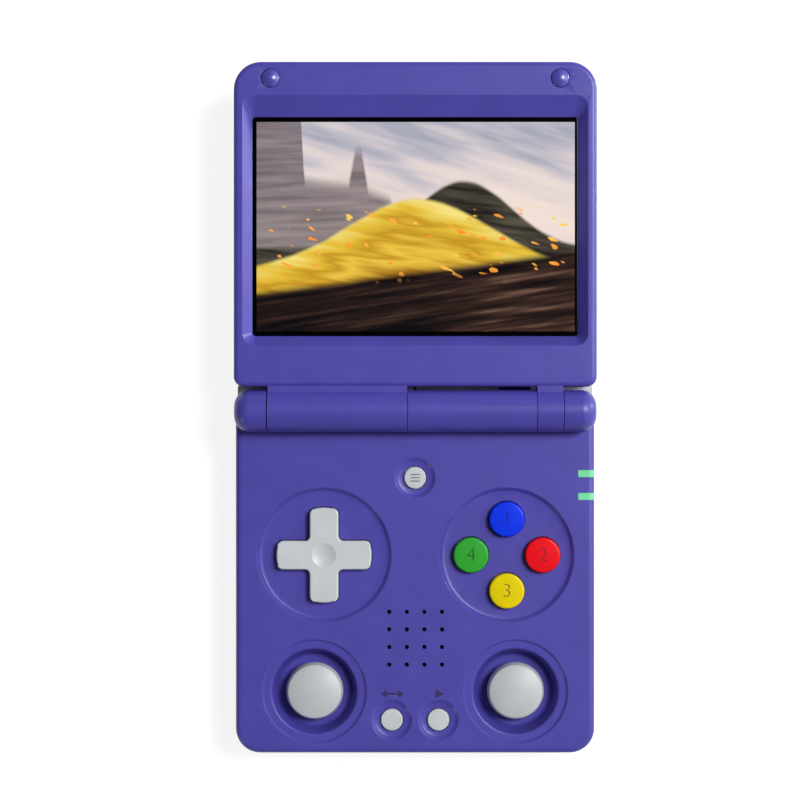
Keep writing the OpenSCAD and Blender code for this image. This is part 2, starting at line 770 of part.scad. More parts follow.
module usb_socket() {
    color(steel_colour) translate([half_w - 0.3, usb_y, usb_z]) rotate([90, 0, -90]) difference() {
        linear_extrude(7.6) round_rect(-4.5, 4.5, -1.6, 1.6, 1.55, 1.55);
        translate([0, 0, -1]) linear_extrude(7) difference() {
            round_rect(-4.2, 4.2, -1.3, 1.3, 1.25, 1.25);
            translate([-3.2, -0.35]) square([6.4, 0.7]);
        }
    }
}

module headphone_jack() {
    color(dark_colour) difference() {
        union() {
            rod_x(-half_w + 0.3, -half_w + 2.4, jack_y, jack_z, 2.7);
            box(-half_w + 2, -half_w + 13.5, jack_y - 2.9, jack_y + 2.9, board_top + 0.05, jack_z + 2.6);
        }
        translate([-half_w, jack_y, jack_z]) rotate([0, 90, 0]) cylinder(h = jack_depth + 0.3, r = jack_r, $fn = 64);
    }
}

module memory_card_slot() {
    color(steel_colour) difference() {
        box(-6.8, 6.8, -base_l / 2 + wall + 0.7, -base_l / 2 + 13, 2, board_z - 0.1);
        box(-5.6, 5.6, -base_l / 2, -base_l / 2 + 12.4, 3, 4.2);
    }
}

module light_pipe(n) {
    color(light_colour) intersection() {
        base_block();
        light_box(n, 0);
    }
}

module shoulder_switch_board() {
    color(board_colour) {
        box(-33.5, 38.6, hinge_y - 1, hinge_y - 0.2, floor_z + 0.3, deck_under - 0.3);
        for (x = [-31, -10, 10, 31])
            box(x - 1.8, x + 1.8, hinge_y - 0.3, hinge_y + 1.3, 7.6, deck_under - 0.4);
    }
}

module shoulder_pins() {
    color(steel_colour) {
        rod_x(-22, 22, pin_y, pin_z, pin_r);
        for (side = [-1, 1]) rod_x(side * 31 - 7, side * 31 + 7, pin_y, pin_z, pin_r);
    }
}

module hall_sensor() {
    color(dark_colour) box(13, 16, -38.5, -36.9, board_top + 0.02, board_top + 0.9);
}

// ---- controls that move ----

// Bead on a stem, between the membrane and the D-pad
module dpad_pivot() {
    color(silicone_colour) translate([-pad_x, pad_y, 0]) {
        post(0, 0, 9.4, 11.8, 1.1, 32);
        translate([0, 0, 12]) sphere(r = 1.5, $fn = 32);
    }
}

module dpad() {
    color(control_colour) translate([-pad_x, pad_y, 0]) difference() {
        union() {
            translate([0, 0, pad_flange_z + 0.5]) linear_extrude(pad_top - 0.35 - pad_flange_z - 0.5) pad_outline(0);
            translate([0, 0, pad_top - 0.4]) linear_extrude(0.25) pad_outline(-0.12);
            translate([0, 0, pad_top - 0.2]) linear_extrude(0.2) pad_outline(-0.4);
            // flange under the shell
            translate([0, 0, pad_flange_z]) linear_extrude(0.8) pad_outline(1);
        }
        // thumb dimple and the pivot's socket
        translate([0, 0, pad_top + 6.44]) sphere(r = 7, $fn = 96);
        post(0, 0, 0, 14, 2.1, 32);
    }
}

module face_button(turn, colour) {
    color(colour) translate([face_x, pad_y, 0]) rotate(turn) translate([face_pitch, 0, 0]) {
        rotate_extrude($fn = 64) polygon([
            [0, 11.4],
            [face_r + 0.7, 11.4],
            [face_r + 0.7, dish_under - 0.2],
            [face_r, dish_under - 0.2],
            [face_r, face_top - 0.55],
            [face_r - 0.12, face_top - 0.3],
            [face_r - 0.4, face_top - 0.1],
            [face_r - 0.8, face_top],
            [0, face_top + 0.08]
        ]);
    }
}

module small_button(x, y) {
    color(control_colour) translate([x, y, 0]) rotate_extrude($fn = 64) polygon([
        [0, 12],
        [small_r + 0.6, 12],
        [small_r + 0.6, small_under - 0.2],
        [small_r, small_under - 0.2],
        [small_r, small_top - 0.4],
        [small_r - 0.12, small_top - 0.15],
        [small_r - 0.35, small_top],
        [0, small_top]
    ]);
}

// Side view of a shoulder button, in Y and Z
module shoulder_profile() {
    r = 3.4;
    foot = 1.4;
    y0 = shoulder_y[0];
    y1 = shoulder_y[1];
    polygon(concat(
        [[y0, shoulder_z[0]], [y0, shoulder_z[1]]],
        [for (a = [90:-9:0]) [y1 - r + r * cos(a), shoulder_z[1] - r + r * sin(a)]],
        [for (a = [0:-15:-90]) [y1 - foot + foot * cos(a), shoulder_z[0] + foot + foot * sin(a)]]
    ));
}

module shoulder_button(side, span, end_r) {
    color(control_colour) mirror([side < 0 ? 1 : 0, 0, 0]) difference() {
        intersection() {
            translate([span[0], 0, 0]) rotate([90, 0, 90]) linear_extrude(span[1] - span[0]) shoulder_profile();
            // round outer corner, seen from above
            translate([0, 0, shoulder_z[0] - 1]) linear_extrude(20) union() {
                translate([span[0] - 1, hinge_y]) square([span[1] - span[0] + 1 - end_r, 12]);
                translate([span[0] - 1, hinge_y]) square([span[1] - span[0] + 1, shoulder_y[1] - hinge_y - end_r]);
                translate([span[1] - end_r, shoulder_y[1] - end_r]) circle(r = end_r, $fn = 48);
            }
        }
        rod_x(span[0] - 1, min(span[1] + 1, 38.3), pin_y, pin_z, pin_r + run_gap);
    }
}

module volume_rocker() {
    x = -half_w + 0.1;
    color(control_colour) {
        box(x, x + 2, volume_y - 5.5, volume_y + 5.5, side_z - 1.1, side_z + 1.1);
        box(x + 1.95, x + 2.9, volume_y - 6, volume_y + 6, side_z - 1.6, side_z + 1.6);
    }
}

module power_button() {
    x = half_w - 0.1;
    color(control_colour) {
        box(x - 1.9, x, power_y - 3, power_y + 3, side_z - 1.1, side_z + 1.1);
        box(x - 2.6, x - 1.8, power_y - 3.6, power_y + 3.6, side_z - 1.6, side_z + 1.6);
    }
}

// ---- nodes ----

lid_front_shell();
lid_back_shell();
display_glass();
display_panel();
lid_bumpers();
lid_screws();
lid_magnet();
lid_display_cable();
hinge_shaft();
base_top_shell();
base_bottom_shell();
case_screws();
mainboard();
battery();
speaker();
speaker_mesh();
hinge_cartridge();
hinge_sleeve();
base_display_cable();
dpad_membrane();
face_button_membrane();
menu_button_membrane();
start_select_membrane();
stick_module(-1);  // left_stick_module
stick_module(1);  // right_stick_module
usb_socket();
headphone_jack();
memory_card_slot();
light_pipe(0);  // power_light_pipe
light_pipe(1);  // charge_light_pipe
shoulder_switch_board();
shoulder_pins();
hall_sensor();
dpad_pivot();
dpad();
face_button(90, "#1135d8");  // top_face_button
face_button(180, "#339132");  // left_face_button
face_button(0, "#dc161f");  // right_face_button
face_button(270, "#d6c20b");  // bottom_face_button
small_button(0, menu_y);  // menu_button
small_button(-start_x, start_y);  // select_button
small_button(start_x, start_y);  // start_button
stick_rocker(-1);  // left_stick_rocker
stick_fork(-1);  // left_stick_fork
thumbstick(-1);  // left_thumbstick
stick_rocker(1);  // right_stick_rocker
stick_fork(1);  // right_stick_fork
thumbstick(1);  // right_thumbstick
shoulder_button(-1, inner_x, 0.8);  // left_inner_shoulder_button
shoulder_button(1, inner_x, 0.8);  // right_inner_shoulder_button
shoulder_button(-1, outer_x, 3);  // left_outer_shoulder_button
shoulder_button(1, outer_x, 3);  // right_outer_shoulder_button
volume_rocker();
power_button();
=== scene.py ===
import math

import bmesh
import bpy
from mathutils import Matrix, Vector


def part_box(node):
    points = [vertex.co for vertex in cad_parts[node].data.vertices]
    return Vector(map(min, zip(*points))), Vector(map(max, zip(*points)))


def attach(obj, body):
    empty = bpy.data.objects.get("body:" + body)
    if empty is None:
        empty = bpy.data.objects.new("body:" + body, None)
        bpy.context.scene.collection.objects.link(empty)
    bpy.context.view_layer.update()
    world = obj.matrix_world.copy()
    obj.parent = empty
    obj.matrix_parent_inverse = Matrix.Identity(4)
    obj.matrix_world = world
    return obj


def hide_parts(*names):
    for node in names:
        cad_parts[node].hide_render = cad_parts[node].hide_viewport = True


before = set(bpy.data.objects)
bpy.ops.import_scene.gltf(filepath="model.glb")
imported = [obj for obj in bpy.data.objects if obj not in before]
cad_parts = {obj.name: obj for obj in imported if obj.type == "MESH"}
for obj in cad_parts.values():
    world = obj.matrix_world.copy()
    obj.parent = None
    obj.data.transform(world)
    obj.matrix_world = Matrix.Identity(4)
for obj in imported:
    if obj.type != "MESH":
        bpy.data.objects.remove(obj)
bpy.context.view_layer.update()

# ---- Camera: straight above the opened console, half a metre over its middle ----
# A long lens on a 36 mm sensor keeps the case square to the eye.
# Sizes in this file are millimetres, and MM turns them into Blender's metres.
MM = 0.001
SENSOR, LENS = 36, 99.6
CAMERA_PLACE = (-3.44, 38.4, 519)
scene = bpy.context.scene
scene.view_settings.view_transform = "Standard"
camera_data = bpy.data.cameras.new("camera")
camera_data.sensor_width = SENSOR
camera_data.lens = LENS
camera = bpy.data.objects.new("camera", camera_data)
camera.location = Vector(CAMERA_PLACE) * MM
scene.collection.objects.link(camera)
scene.camera = camera


# ---- Studio: white paper floor in a pale room, with four lamps ----
# A softbox high on the right, a gridded strip low on the right for the slopes of the screen recess,
# a card on the right and a strip at the front left. Paper and room show white, but light little.
def linear(code):
    """An sRGB hex colour as linear red, green, blue and alpha."""
    parts = [int(code[i:i + 2], 16) / 255 for i in (1, 3, 5)]
    return [c / 12.92 if c <= 0.04045 else ((c + 0.055) / 1.055) ** 2.4 for c in parts] + [1]


def add(tree, kind, settings=None, **links):
    """Adds one shader node. Settings go by property or socket, and stops are a ramp's places and
    colours. Links go by socket, with _ for a space, from a node, a socket or a number."""
    made = tree.nodes.new("ShaderNode" + kind)
    for name, value in (settings or {}).items():
        if isinstance(value, str) and value[0] == "#":
            value = linear(value)
        if name == "stops":
            band = made.color_ramp.elements
            while len(band) < len(value):
                band.new(0.5)
            for stop, (where, colour) in zip(band, value):
                stop.position = where
                stop.color = linear(colour) if isinstance(colour, str) else colour
        elif isinstance(name, int) or name in made.inputs:
            made.inputs[name].default_value = value
        else:
            setattr(made, name, value)
    for name, source in links.items():
        socket = made.inputs[int(name[1:]) if name[0] == "_" else name.replace("_", " ")]
        if isinstance(source, (int, float)):
            socket.default_value = source
        else:
            if isinstance(source, bpy.types.Node):
                source = next(out for out in source.outputs if out.enabled)
            tree.links.new(source, socket)
    return made


def seen_directly(tree):
    """1 for rays that come from the camera, off gloss or through glass, else 0."""
    path = add(tree, "LightPath")
    straight = add(tree, "Math", {"operation": "MAXIMUM"}, _0=path.outputs["Is Camera Ray"],
                   _1=path.outputs["Is Glossy Ray"])
    return add(tree, "Math", {"operation": "MAXIMUM"}, _0=straight,
               _1=path.outputs["Is Transmission Ray"])


def blank(name):
    """A new material and its node tree, still without nodes."""
    material = bpy.data.materials.new(name)
    material.use_nodes = True
    material.node_tree.nodes.clear()
    return material, material.node_tree


# the room lights the console less from the left, so the slopes that face left fall into shade
AMBIENT_LEFT, AMBIENT_RIGHT = 0.1, 0.28
# what gloss mirrors: white near the floor, dark overhead and to the left, so the flats stay clear
CEILING = 0.1
CEILING_START, CEILING_END = 0.6, 0.9
GLOSS_LEFT = 0.05
GLOSS_START, GLOSS_END = -0.3, 0.9
world = bpy.data.worlds.new("studio")
scene.world = world
world.use_nodes = True
tree = world.node_tree
tree.nodes.clear()
towards = add(tree, "SeparateXYZ", Vector=add(tree, "TexCoord").outputs["Generated"])
rightwards, upwards = towards.outputs[0], towards.outputs[2]
evenness = add(tree, "MapRange", {"From Min": -1, "From Max": 1, "To Min": AMBIENT_LEFT,
                                  "To Max": AMBIENT_RIGHT}, Value=rightwards)
height = add(tree, "MapRange", {"interpolation_type": "SMOOTHSTEP", "From Min": CEILING_START,
                                "From Max": CEILING_END, "To Min": 1, "To Max": CEILING},
             Value=upwards)
side = add(tree, "MapRange", {"interpolation_type": "SMOOTHSTEP", "From Min": GLOSS_START,
                              "From Max": GLOSS_END, "To Min": GLOSS_LEFT, "To Max": 1},
           Value=rightwards)
mirrored = add(tree, "Math", {"operation": "MULTIPLY"}, _0=height, _1=side)
backdrop = add(tree, "Math", {"operation": "MAXIMUM"}, _0=mirrored,
               _1=add(tree, "LightPath").outputs["Is Camera Ray"])
soft = add(tree, "Background", {"Color": "#ffffff"}, Strength=evenness)
white = add(tree, "Background", {"Color": "#ffffff"}, Strength=backdrop)
room = add(tree, "MixShader", _0=seen_directly(tree), _1=soft, _2=white)
add(tree, "OutputWorld", Surface=room)

# Uncoated paper: white to the eye, without gloss, and it takes the console's soft shadow.
# What it throws back on the console is dimmer, as from paper that lies in the shade.
PAPER_SHADED, PAPER_SHOWN, PAPER_GLOW = "#6c6c6c", "#999999", 0.84
FLOOR_REACH = 3000
paper, tree = blank("matt_white_paper")
dull = add(tree, "BsdfDiffuse", {"Color": PAPER_SHADED})
shown = add(tree, "BsdfDiffuse", {"Color": PAPER_SHOWN})
glow = add(tree, "Emission", {"Color": "#ffffff", "Strength": PAPER_GLOW})
bright = add(tree, "AddShader", _0=shown, _1=glow)
sheet = add(tree, "MixShader", _0=seen_directly(tree), _1=dull, _2=bright)
add(tree, "OutputMaterial", Surface=sheet)
shape = bmesh.new()
bmesh.ops.create_grid(shape, x_segments=1, y_segments=1, size=FLOOR_REACH * MM)
floor_mesh = bpy.data.meshes.new("floor")
shape.to_mesh(floor_mesh)
shape.free()
floor = bpy.data.objects.new("floor", floor_mesh)
floor.data.materials.append(paper)
scene.collection.objects.link(floor)

# place and aim, width and height of the lamp's face, watts, and spread in degrees
console, screen_edge = (0, 36, 15), (-36, 78, 20)
for name, place, aim, width, height, power, spread in (
    ("key_softbox", (682, 380, 1301), console, 500, 500, 20.5, 180),
    ("gridded_strip", (630, 257, 54), screen_edge, 160, 30, 0.026, 16),
    ("side_card", (570, 140, 400), console, 400, 80, 0.9, 180),
    ("front_strip", (-470, -400, 200), console, 70, 200, 0.45, 180),
):
    lamp_data = bpy.data.lights.new(name, "AREA")
    lamp_data.shape = "RECTANGLE"
    lamp_data.size, lamp_data.size_y = width * MM, height * MM
    lamp_data.energy = power
    lamp_data.spread = math.radians(spread)
    lamp = bpy.data.objects.new(name, lamp_data)
    lamp.visible_camera = False
    lamp.location = Vector(place) * MM
    lamp.rotation_euler = (Vector(aim) * MM - lamp.location).to_track_quat("-Z", "Y").to_euler()
    scene.collection.objects.link(lamp)


# ---- Base: bottom and top mouldings, with two icons in the control face ----
# Two shells of violet ABS, injection-moulded, that meet in a joint line and are screwed together
# from below. A two-way arrow and a play arrow are sunk in the mould, with painted shade in them.
CREASE = 24             # degrees; where faces turn by more, the edge is a real one
WELD = 0.002            # vertices nearer than this are one
PIGMENT_CLOUD = 7       # the size of the patches in which pigment varies
GRIT_RELIEF = 0.012
PLASTIC_IOR = 1.54
SHELL_EDGE = 0.12


def shade(code, factor):
    """A hex colour made lighter or darker, as linear values."""
    return [min(1, c * factor) for c in linear(code)[:3]] + [1]


def moulded(name, colour, rough, grit=0.35, gloss=0.3):
    """Injection-moulded plastic: pigment that varies by a twentieth, and the satin of a mould that
    was spark-eroded. The real grit is about a tenth of this one, and too fine to show."""
    material, tree = blank(name)
    place = add(tree, "TexCoord").outputs["Object"]
    cloud = add(tree, "TexNoise", {"Scale": 1 / (PIGMENT_CLOUD * MM), "Detail": 2.0}, Vector=place)
    pigment = add(tree, "ValToRGB", {"stops": [(0.3, shade(colour, 0.95)),
                                               (0.7, shade(colour, 1.05))]}, Fac=cloud)
    grain = add(tree, "TexNoise", {"Scale": 1 / (grit * MM), "Detail": 3.0, "Roughness": 0.6},
                Vector=place)
    sheen = add(tree, "MapRange", {"From Min": 0.3, "From Max": 0.7, "To Min": rough - 0.05,
                                   "To Max": rough + 0.05}, Value=grain)
    bump = add(tree, "Bump", {"Strength": 0.35, "Distance": GRIT_RELIEF * MM}, Height=grain)
    skin = add(tree, "BsdfPrincipled", {"IOR": PLASTIC_IOR, "Specular IOR Level": gloss},
               Base_Color=pigment, Roughness=sheen, Normal=bump)
    add(tree, "OutputMaterial", Surface=skin)
    return material


def solid(name, shape, finish, sharp=CREASE):
    """A finished piece from a bmesh in millimetres, shaded smooth except over sharp edges."""
    bmesh.ops.scale(shape, vec=(MM, MM, MM), verts=shape.verts)
    mesh = bpy.data.meshes.new(name)
    shape.to_mesh(mesh)
    shape.free()
    mesh.polygons.foreach_set("use_smooth", [True] * len(mesh.polygons))
    mesh.set_sharp_from_angle(angle=math.radians(sharp))
    made = bpy.data.objects.new(name, mesh)
    made.data.materials.append(finish)
    scene.collection.objects.link(made)
    return made


def merged(node):
    """A copy of a CAD node's mesh as one closed skin, in millimetres."""
    shape = bmesh.new()
    shape.from_mesh(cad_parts[node].data)
    bmesh.ops.scale(shape, vec=(1 / MM,) * 3, verts=shape.verts)
    bmesh.ops.remove_doubles(shape, verts=shape.verts, dist=WELD)
    return shape


def soften(piece, radius=0):
    """Rounds the sharp edges of a piece by a radius in millimetres, and keeps its flats flat."""
    if radius:
        round_edges = piece.modifiers.new("round_edges", "BEVEL")
        round_edges.width = radius * MM
        round_edges.segments = 3
        round_edges.limit_method = "ANGLE"
        round_edges.angle_limit = math.radians(CREASE)
    flats = piece.modifiers.new("flats", "WEIGHTED_NORMAL")
    flats.keep_sharp = True


def plate(outline, low, high):
    """A flat plate with the outline's (x, y) points, from height low to high."""
    shape = bmesh.new()
    face = shape.faces.new([shape.verts.new((x, y, low)) for x, y in outline])
    top = bmesh.ops.extrude_face_region(shape, geom=[face])["geom"]
    raised = [part for part in top if isinstance(part, bmesh.types.BMVert)]
    bmesh.ops.translate(shape, vec=(0, 0, high - low), verts=raised)
    bmesh.ops.recalc_face_normals(shape, faces=shape.faces)
    return shape


def together(*shapes):
    """Several bmeshes as one."""
    whole = shapes[0]
    for shape in shapes[1:]:
        mesh = bpy.data.meshes.new("part")
        shape.to_mesh(mesh)
        shape.free()
        whole.from_mesh(mesh)
        bpy.data.meshes.remove(mesh)
    return whole


def cut(piece, cutters, union=False, finish=None):
    """Takes the bmesh cutters, in millimetres, out of a piece, or joins them to it. The new faces
    get the finish. Only a small mesh is tested against itself, which is slow."""
    small_mesh = 3000
    tool = solid("cutter", cutters, finish or piece.data.materials[0])
    change = piece.modifiers.new("change", "BOOLEAN")
    change.operation = "UNION" if union else "DIFFERENCE"
    change.object = tool
    change.solver = "EXACT"
    change.material_mode = "TRANSFER"
    change.use_self = len(piece.data.polygons) < small_mesh
    ready = piece.evaluated_get(bpy.context.evaluated_depsgraph_get())
    changed = bpy.data.meshes.new_from_object(ready)
    piece.modifiers.clear()
    old = piece.data
    piece.data = changed
    bpy.data.meshes.remove(old)
    bpy.data.objects.remove(tool)
    changed.polygons.foreach_set("use_smooth", [True] * len(changed.polygons))
    changed.set_sharp_from_angle(angle=math.radians(CREASE))


FACE = 15.5             # height of the control face
ICON_DEPTH = 0.15
ICON_Y = -28.45
SELECT_X, START_X = -5.2, 5.4
both_ways = [(-2.6, 0), (-1.3, 0.9), (-1.3, 0.22), (1.3, 0.22), (1.3, 0.9), (2.6, 0)]
both_ways += [(x, -y) for x, y in both_ways[-2:0:-1]]
play = [(-0.8, 1.0), (1.1, 0), (-0.8, -1.0)]
# Violet ABS from an eroded mould: an even satin, with broad soft highlights on the round edges.
violet = moulded("violet_moulded_abs", "#48429c", 0.35)
# Painted shade in the sunk icons: darker violet without gloss, so they read as plain dark marks.
violet_groove_shade = moulded("violet_painted_shade_in_the_icons", "#282455", 0.6)
base_top = solid("base_top_moulding", merged("base_top_shell"), violet)
cut(base_top, together(*[
    plate([(x + at, y + ICON_Y) for x, y in icon], FACE - ICON_DEPTH, FACE + ICON_DEPTH)
    for icon, at in ((both_ways, SELECT_X), (play, START_X))
]), finish=violet_groove_shade)
base_bottom = solid("base_bottom_moulding", merged("base_bottom_shell"), violet)
for shell, node in ((base_top, "base_top_shell"), (base_bottom, "base_bottom_shell")):
    soften(shell, SHELL_EDGE)
    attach(shell, "base")
    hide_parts(node)


# ---- Case screws, board, battery and speaker inside the base ----
# Plated steel screws, a glass-fibre board, a foil pouch cell, and a small speaker behind a woven
# dust mesh. Under the keys lie moulded silicone membranes, which spring them back.
def coat(finish, *nodes):
    """Gives CAD nodes their finish."""
    for node in nodes:
        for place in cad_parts[node].material_slots:
            place.material = finish


def plated(name, colour, rough, brushed=0.25):
    """Plated or rolled metal, with a fine grain along X that is brushed millimetres apart."""
    lengthwise, relief = 0.08, 0.004
    material, tree = blank(name)
    place = add(tree, "TexCoord").outputs["Object"]
    drawn = add(tree, "Mapping", {"Scale": (lengthwise, 1, 1)}, Vector=place)
    grain = add(tree, "TexNoise", {"Scale": 1 / (brushed * MM), "Detail": 3.0}, Vector=drawn)
    sheen = add(tree, "MapRange", {"To Min": rough - 0.08, "To Max": rough + 0.08}, Value=grain)
    tint = add(tree, "ValToRGB", {"stops": [(0, shade(colour, 0.88)), (1, colour)]}, Fac=grain)
    bump = add(tree, "Bump", {"Strength": 0.2, "Distance": relief * MM}, Height=grain)
    skin = add(tree, "BsdfPrincipled", {"Metallic": 1}, Base_Color=tint, Roughness=sheen,
               Normal=bump)
    add(tree, "OutputMaterial", Surface=skin)
    return material


def woven(name, dark, light, pitch, rough):
    """Two crossed waves of so many millimetres: the threads of a mesh or of a board's glass."""
    relief = 0.02
    waves = 0.05 / (pitch * MM) * 2 * math.pi
    material, tree = blank(name)
    place = add(tree, "TexCoord").outputs["Object"]
    across = add(tree, "TexWave", {"bands_direction": "X", "Scale": waves}, Vector=place)
    along = add(tree, "TexWave", {"bands_direction": "Y", "Scale": waves}, Vector=place)
    crossed = add(tree, "Math", {"operation": "MULTIPLY"}, _0=across.outputs["Fac"],
                  _1=along.outputs["Fac"])
    tint = add(tree, "ValToRGB", {"stops": [(0, dark), (1, light)]}, Fac=crossed)
    bump = add(tree, "Bump", {"Strength": 0.4, "Distance": relief * MM}, Height=crossed)
    skin = add(tree, "BsdfPrincipled", {"Roughness": rough}, Base_Color=tint, Normal=bump)
    add(tree, "OutputMaterial", Surface=skin)
    return material


# Nickel on turned and drawn steel: a bright, slightly warm mirror, blurred along the grain.
steel = plated("nickel_plated_steel", "#b4b6ba", 0.3)
# Black ABS: nearly black, with a low satin.
black_abs = moulded("black_moulded_abs", "#1d1e21", 0.45)
# Silicone rubber from a smooth mould: dull grey, with a soft wide sheen.
silicone = moulded("grey_moulded_silicone", "#8b8f95", 0.6, grit=0.25)
# Solder mask over glass weave: dark green lacquer, in which the threads show a little.
solder_mask = woven("green_solder_mask_on_glass_fibre", "#174a31", "#246b49", 0.6, 0.35)
# Aluminised foil of the pouch cell: dull silver, with fine rolling marks.
pouch_foil = plated("aluminised_pouch_foil", "#565b62", 0.42, 0.6)
# Woven nylon mesh: black threads that catch a little light. Drawn coarser than the real one.
dust_mesh = woven("black_woven_dust_mesh", "#070708", "#26272a", 0.3, 0.8)
coat(steel, "case_screws", "lid_screws", "lid_magnet", "shoulder_pins", "left_stick_module",
     "right_stick_module")
coat(solder_mask, "mainboard", "shoulder_switch_board")
coat(pouch_foil, "battery")
coat(black_abs, "speaker", "hall_sensor", "left_stick_rocker", "left_stick_fork",
     "right_stick_rocker", "right_stick_fork")
coat(dust_mesh, "speaker_mesh")
coat(silicone, "dpad_membrane", "face_button_membrane", "menu_button_membrane",
     "start_select_membrane", "dpad_pivot")


# ---- Sockets: USB-C and headphone jack in the sides, and the memory card slot ----
# The USB-C socket and the card slot are drawn steel shells, and the jack is a black moulded body.
# They are soldered to the board and show through openings in the shells.
coat(steel, "usb_socket", "memory_card_slot")
coat(black_abs, "headphone_jack")


# ---- Hinge: friction cartridge and shaft on the right, cable sleeve on the left ----
# Turned steel parts that are pushed into the knuckles of the barrel. The display's film cable
# runs rolled up through the hollow sleeve.
coat(steel, "hinge_cartridge", "hinge_shaft", "hinge_sleeve")
# Polyimide film over copper tracks: amber, with a metal glint along the tracks.
film_cable = plated("polyimide_film_cable", "#b0722c", 0.35, 0.5)
coat(film_cable, "base_display_cable", "lid_display_cable")


# ---- D-pad: one moulded cross in light grey ABS ----
# Its arm ends are bowed and its corners filleted, with a shallow thumb dimple in the middle. A
# flange under the shell holds it in, and a bore in its foot sits on the pivot.
REAL_CORNER = math.radians(40)      # the facets of a bowed end turn by far less


def mid(node):
    """The middle of a CAD node in X and Y, and its top in Z, in millimetres."""
    low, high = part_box(node)
    return Vector(((low.x + high.x) / 2, (low.y + high.y) / 2, high.z)) / MM


def spun(profile, place=(0, 0, 0), steps=96):
    """A round piece: a profile of (radius, height) turned about the upright axis."""
    shape = bmesh.new()
    points = [shape.verts.new((r, 0, z)) for r, z in profile]
    lines = [shape.edges.new(pair) for pair in zip(points, points[1:])]
    bmesh.ops.spin(shape, geom=points + lines, axis=(0, 0, 1), cent=(0, 0, 0), angle=2 * math.pi,
                   steps=steps, use_merge=True)
    bmesh.ops.remove_doubles(shape, verts=shape.verts, dist=WELD)
    bmesh.ops.recalc_face_normals(shape, faces=shape.faces)
    bmesh.ops.translate(shape, vec=place, verts=shape.verts)
    return shape


def fillet(x, z, r, a0, a1, steps=6):
    """Points of an arc of a profile, from angle a0 to a1 in degrees."""
    turns = [math.radians(a0 + (a1 - a0) * i / steps) for i in range(steps + 1)]
    return [(x + r * math.cos(turn), z + r * math.sin(turn)) for turn in turns]


def rounded(shape, edges, radius, steps):
    """Rounds some edges of a bmesh."""
    bmesh.ops.bevel(shape, geom=edges, offset=radius, affect="EDGES", segments=steps,
                    profile=0.5, material=-1)


def cross(reach, half, z0, z1, corner, inner, bow, edge):
    """An upright cross: reach and half width of its arms, its two heights, and the radii of its
    outer and inner corners, of its bowed ends and of its top edge."""
    shape = bmesh.new()
    bmesh.ops.create_grid(shape, x_segments=3, y_segments=3, size=reach)
    for v in shape.verts:
        for axis in (0, 1):
            if abs(v.co[axis]) < reach - WELD:
                v.co[axis] = math.copysign(half, v.co[axis])
    outer = [f for f in shape.faces if min(abs(c) for c in f.calc_center_median()[:2]) > half]
    bmesh.ops.delete(shape, geom=outer, context="FACES")
    ends = [e for e in shape.edges
            if any(all(abs(v.co[axis]) > reach - WELD for v in e.verts) for axis in (0, 1))]
    bmesh.ops.subdivide_edges(shape, edges=ends, cuts=9)
    for v in shape.verts:
        for axis in (0, 1):
            if abs(v.co[axis]) > reach - WELD:
                side = v.co[1 - axis]
                v.co[axis] = math.copysign(reach - bow + math.sqrt(bow * bow - side * side),
                                           v.co[axis])
    top = bmesh.ops.extrude_face_region(shape, geom=shape.faces[:])["geom"]
    raised = [part for part in top if isinstance(part, bmesh.types.BMVert)]
    bmesh.ops.translate(shape, vec=(0, 0, z1 - z0), verts=raised)
    bmesh.ops.translate(shape, vec=(0, 0, z0), verts=shape.verts)
    bmesh.ops.recalc_face_normals(shape, faces=shape.faces)
    bmesh.ops.dissolve_limit(shape, angle_limit=math.radians(0.2), verts=shape.verts,
                             edges=shape.edges)
    for radius, near in ((corner, False), (inner, True)):
        upright = [e for e in shape.edges
                   if abs(abs(e.verts[0].co.z - e.verts[1].co.z) - (z1 - z0)) < WELD
                   and e.calc_face_angle(0) > REAL_CORNER
                   and (max(abs(c) for c in e.verts[0].co[:2]) < reach / 2) == near]
        rounded(shape, upright, radius, 6)
    if edge:
        rim = [e for e in shape.edges if all(abs(v.co.z - z1) < WELD for v in e.verts)
               and e.calc_face_angle(0) > REAL_CORNER]
        rounded(shape, rim, edge, 5)
    return shape


# Light grey ABS: an even soft satin, a little smoother than the shells.
grey = moulded("light_grey_moulded_abs", "#bcc0c3", 0.38, grit=0.3)
PAD_REACH, PAD_HALF = 10.8, 3.25
PAD_TOP = 16.7
PAD_CORNER, PAD_INNER, PAD_BOW, PAD_EDGE = 0.9, 1.1, 9, 0.42
PAD_FLANGE, PAD_FLANGE_Z, PAD_FLANGE_TALL = 1, 10.6, 0.8
PAD_OVERLAP = 0.3       # the cross starts this far inside its flange
PAD_DIMPLE_R, PAD_DIMPLE_DEPTH = 7, 0.56
PAD_BORE_R, PAD_BORE_LOW, PAD_BORE_TOP = 2.1, 5, 14
pad_place = mid("dpad")
pad = solid("dpad_cross", cross(PAD_REACH, PAD_HALF, PAD_FLANGE_Z + PAD_OVERLAP, PAD_TOP,
                                PAD_CORNER, PAD_INNER, PAD_BOW, PAD_EDGE), grey)
cut(pad, cross(PAD_REACH + PAD_FLANGE, PAD_HALF + PAD_FLANGE, PAD_FLANGE_Z,
               PAD_FLANGE_Z + PAD_FLANGE_TALL, PAD_CORNER + PAD_FLANGE, PAD_INNER - PAD_FLANGE,
               PAD_BOW + PAD_FLANGE, 0), union=True)
ball_z = PAD_TOP + PAD_DIMPLE_R - PAD_DIMPLE_DEPTH
cut(pad, together(
    spun([(0, ball_z - PAD_DIMPLE_R)] + fillet(0, ball_z, PAD_DIMPLE_R, -88, -60, 20)
         + [(0, ball_z - PAD_DIMPLE_R / 2)], steps=64),
    spun([(0, PAD_BORE_LOW), (PAD_BORE_R, PAD_BORE_LOW), (PAD_BORE_R, PAD_BORE_TOP),
          (0, PAD_BORE_TOP)], steps=48),
))
pad.data.transform(Matrix.Translation((pad_place.x * MM, pad_place.y * MM, 0)))
soften(pad, 0.05)
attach(pad, "dpad")
